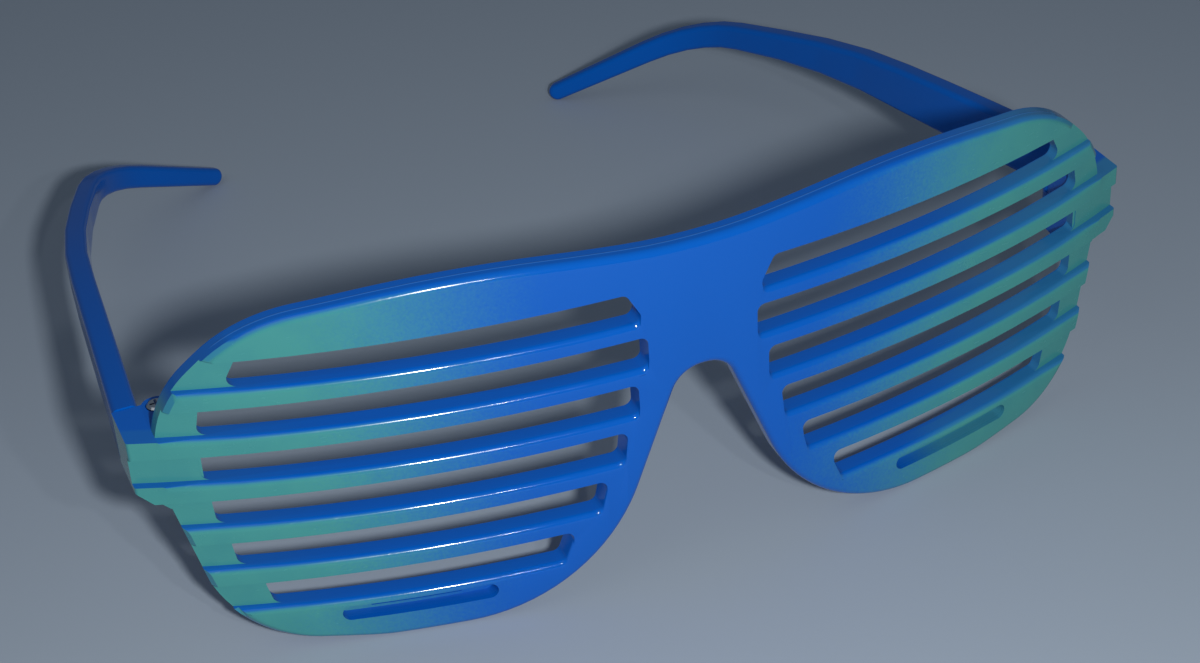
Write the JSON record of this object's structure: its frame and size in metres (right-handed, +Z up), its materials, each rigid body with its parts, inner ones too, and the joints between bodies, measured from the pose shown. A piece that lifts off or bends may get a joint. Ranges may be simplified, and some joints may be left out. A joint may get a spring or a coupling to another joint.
{
  "type": "slatted novelty glasses",
  "caption": "Slatted novelty glasses: a one-piece wrapped front with horizontal slats across both lens openings, and two folding temples with bent ear hooks on screw hinges.",
  "frame": {"origin": "on the table, under the middle of the glasses' width and depth", "axes": "+Z up from the table, +X to the wearer's left, -Y the way the wearer faces; the temples run towards +Y"},
  "size_m": [0.146, 0.1374, 0.0539],
  "materials": {
    "front_plastic": "glossy blue, with a mint-green sprayed fade from both outer ends",
    "temple_plastic": "glossy blue",
    "screw_steel": "bright"
  },
  "bodies": {
    "front": {"front": "front_plastic", "left_hinge_screw": "screw_steel", "right_hinge_screw": "screw_steel"},
    "left_temple": {"left_temple": "temple_plastic"},
    "right_temple": {"right_temple": "temple_plastic"}
  },
  "joints": [
    {"name": "left_temple_hinge", "type": "hinge", "parent": "front", "child": "left_temple", "pos_m": [0.0673, -0.04668, 0.03115], "axis": [0, 0, 1], "range_deg": [0, 75]},
    {"name": "right_temple_hinge", "type": "hinge", "parent": "front", "child": "right_temple", "pos_m": [-0.0673, -0.04668, 0.03115], "axis": [0, 0, -1], "range_deg": [0, 68]}
  ]
}
